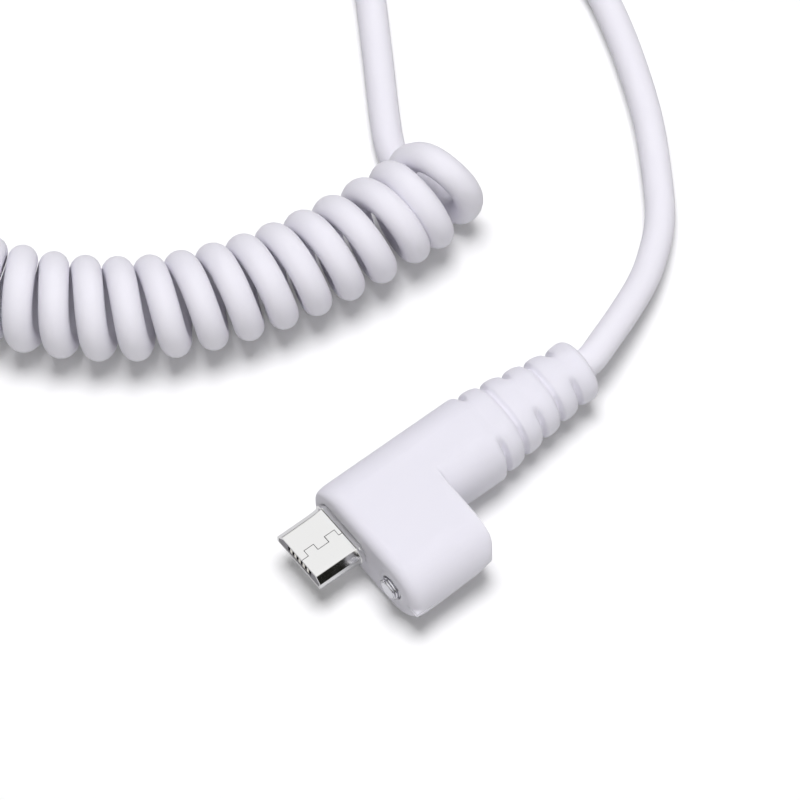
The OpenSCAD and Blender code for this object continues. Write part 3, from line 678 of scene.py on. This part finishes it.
def make_flash():
    """The thin flash along the ear's parting line, pointed at the front."""
    rows = []
    for k in range(FLASH_STEPS + 1):
        run = k / FLASH_STEPS
        y = FRONT - FLASH_FRONT + run * (EAR_BACK - FLASH_SHORT - FRONT)
        edge = EAR_X + EAR_R + FLASH_OUT - DRAW_IN * run ** DRAW_POWER
        rows.append([(edge - FLASH_DEPTH, y, EAR_MID - FLASH_ROOT),
                     (edge, y, EAR_MID - FLASH_EDGE),
                     (edge, y, EAR_MID + FLASH_EDGE),
                     (edge - FLASH_DEPTH, y, EAR_MID + FLASH_ROOT)])
    verts = [Vector(p) * MM for row in rows for p in row]
    faces = [(4 * k + i, 4 * k + (i + 1) % 4, 4 * k + 4 + (i + 1) % 4, 4 * k + 4 + i)
             for k in range(FLASH_STEPS) for i in range(4)]
    faces += [(3, 2, 1, 0), tuple(range(4 * FLASH_STEPS, 4 * FLASH_STEPS + 4))]
    mesh = bpy.data.meshes.new("parting_flash")
    mesh.from_pydata(verts, [], faces)
    finish_piece(add_object("parting_flash", mesh), "moulding")


# The thread's root radius, how far above it the ridge is centred, the ridge's radius, the
# pitch, the turns, and the place of the first turn from the block's front. The tip is turned
# down as far as TIP_LENGTH before the front.
THREAD_ROOT, THREAD_RISE, RIDGE_R = 0.92, 0.1, 0.2
THREAD_PITCH, THREAD_TURNS, THREAD_Y = 0.3, 3.2, 0.32
TIP_LENGTH = 0.15


def cut_back_tip(bm):
    """Turns the screw's tip down to the root of its thread."""
    for vert in bm.verts:
        x, z = vert.co.x - SCREW[0] * MM, vert.co.z - SCREW[1] * MM
        r = math.hypot(x, z)
        if vert.co.y < (FRONT - TIP_LENGTH) * MM and r > THREAD_ROOT * MM:
            vert.co.x = (SCREW[0] + x * THREAD_ROOT / r) * MM
            vert.co.z = (SCREW[1] + z * THREAD_ROOT / r) * MM


def make_thread():
    """The visible turns of the screw's thread, wound round its tip."""
    place = Vector((SCREW[0], FRONT + THREAD_Y, SCREW[1])) * MM
    thread = grow("screw_thread", thread_tree(),
                  {"Core Radius": (THREAD_ROOT + THREAD_RISE) * MM,
                   "Pitch": THREAD_PITCH * MM, "Turns": THREAD_TURNS, "Ridge": RIDGE_R * MM,
                   "Place": place[:], "Material": FINISHES["screw_steel"]})
    finish_piece(thread, "screw_steel", "screw")


# ---------------------------------------------------------------- table and light

# Strength of the room, of the sun from above and of the fill from the side, and how far the
# table is lifted to pure white
SKY, KEY, FILL, TABLE_LIFT = 0.14, 2.46, 0.88, 0.1
# Half the table's side in metres, and its tone as the cable sees it
TABLE_HALF, TABLE_TONE = 3.0, 0.74
# Colours of the room as metal mirrors it, each after the height where it is reached, 1 being
# straight up, and the room's colour as light
ROOM_LOW, ROOM_MIDDLE = (0.32, (0.012, 0.012, 0.01, 1)), (0.50, (0.72, 0.71, 0.69, 1))
ROOM_LIGHT = (1, 1, 0.975, 1)
WHITE = (1, 1, 1, 1)
# The two suns: where they shine, how wide they are in degrees, and their colours
KEY_WAY, KEY_WIDTH, KEY_COLOUR = (0.12, -0.08, -0.985), 32, (0.992, 0.987, 1.01)
FILL_WAY, FILL_WIDTH, FILL_COLOUR = (-0.8, 0.25, -0.45), 90, (1, 1, 0.97)


def make_table():
    """A table that the camera sees as pure white, and the cable as light grey."""
    size = TABLE_HALF
    mesh = bpy.data.meshes.new("table")
    mesh.from_pydata([(-size, -size, 0), (size, -size, 0), (size, size, 0), (-size, size, 0)],
                     [], [(0, 1, 2, 3)])
    table = add_object("table", mesh)
    mat, tree, shader, _ = material("white_table")
    paths = tree.nodes.new("ShaderNodeLightPath")
    seen = paths.outputs["Is Camera Ray"]
    tone = mix_colours(tree, seen, (TABLE_TONE, TABLE_TONE, TABLE_TONE, 1), WHITE)
    tree.links.new(tone, shader.inputs["Base Color"])
    shader.inputs["Roughness"].default_value = 1.0
    shader.inputs["Specular IOR Level"].default_value = 0.0
    shader.inputs["Emission Color"].default_value = WHITE
    lift = math_node(tree, "MULTIPLY", seen, TABLE_LIFT)
    tree.links.new(lift, shader.inputs["Emission Strength"])
    mesh.materials.append(mat)
    return table


def sun(name, towards, strength, angle, colour):
    """A soft far light that metal doesn't mirror."""
    light = bpy.data.lights.new(name, "SUN")
    light.energy = strength
    light.angle = math.radians(angle)
    light.color = colour
    obj = add_object(name, light)
    obj.rotation_mode = "QUATERNION"
    obj.rotation_quaternion = Vector(towards).to_track_quat("-Z", "Y")
    obj.visible_glossy = False
    return obj


def make_light(table):
    """A room that is dark low down in metal, which draws its edges, and two soft suns."""
    world = bpy.data.worlds.new("studio")
    bpy.context.scene.world = world
    world.use_nodes = True
    tree = world.node_tree
    ground = tree.nodes["Background"]
    paths = tree.nodes.new("ShaderNodeLightPath")
    split = tree.nodes.new("ShaderNodeSeparateXYZ")
    place = tree.nodes.new("ShaderNodeTexCoord")
    tree.links.new(place.outputs["Generated"], split.inputs["Vector"])
    room = tree.nodes.new("ShaderNodeValToRGB")
    ramp = room.color_ramp.elements
    for element, (position, colour) in zip(ramp, (ROOM_LOW, ROOM_MIDDLE)):
        element.position, element.color = position, colour
    ramp.new(1.0).color = WHITE
    tree.links.new(split.outputs["Z"], room.inputs["Fac"])
    glossy = math_node(tree, "MAXIMUM", paths.outputs["Is Glossy Ray"],
                       paths.outputs["Is Transmission Ray"])
    tone = mix_colours(tree, glossy, ROOM_LIGHT, room.outputs["Color"])
    tree.links.new(tone, ground.inputs["Color"])
    seen = math_node(tree, "MAXIMUM", paths.outputs["Is Camera Ray"], glossy)
    strength = math_node(tree, "MULTIPLY_ADD", seen, 1.0 - SKY, SKY)
    tree.links.new(strength, ground.inputs["Strength"])
    sun("key", KEY_WAY, KEY, KEY_WIDTH, KEY_COLOUR)
    fill = sun("side_fill", FILL_WAY, FILL, FILL_WIDTH, FILL_COLOUR)
    lit = bpy.data.collections.new("lit_by_side_fill")
    bpy.context.scene.collection.children.link(lit)
    lit.objects.link(table)
    fill.light_linking.receiver_collection = lit
    lit.collection_objects[0].light_linking.link_state = "EXCLUDE"


CONTACTS = ("contact_vbus", "contact_data_minus", "contact_data_plus", "contact_id",
            "contact_ground")

make_camera()
make_cord()
dress_nodes()
moulded_skin("plug_body", "ribbed_moulding", 0.15, 3, form_block)
make_flash()
smooth_skin("plug_shell", "folded_shell", 30, shape=tighten_flare)
make_collar()
smooth_skin("plug_insulator", "mouth_insulator", 35, shape=bring_forward(INSULATOR_Y))
for contact in CONTACTS:
    smooth_skin(contact, contact.replace("contact", "tip"), 35,
                shape=bring_forward(TIP_Y, TIP_RISE, TIP_WIDEN))
smooth_skin("lock_screw", "screw_body", 35, "screw", cut_back_tip)
make_thread()
make_light(make_table())
bpy.context.scene.view_settings.view_transform = "Standard"
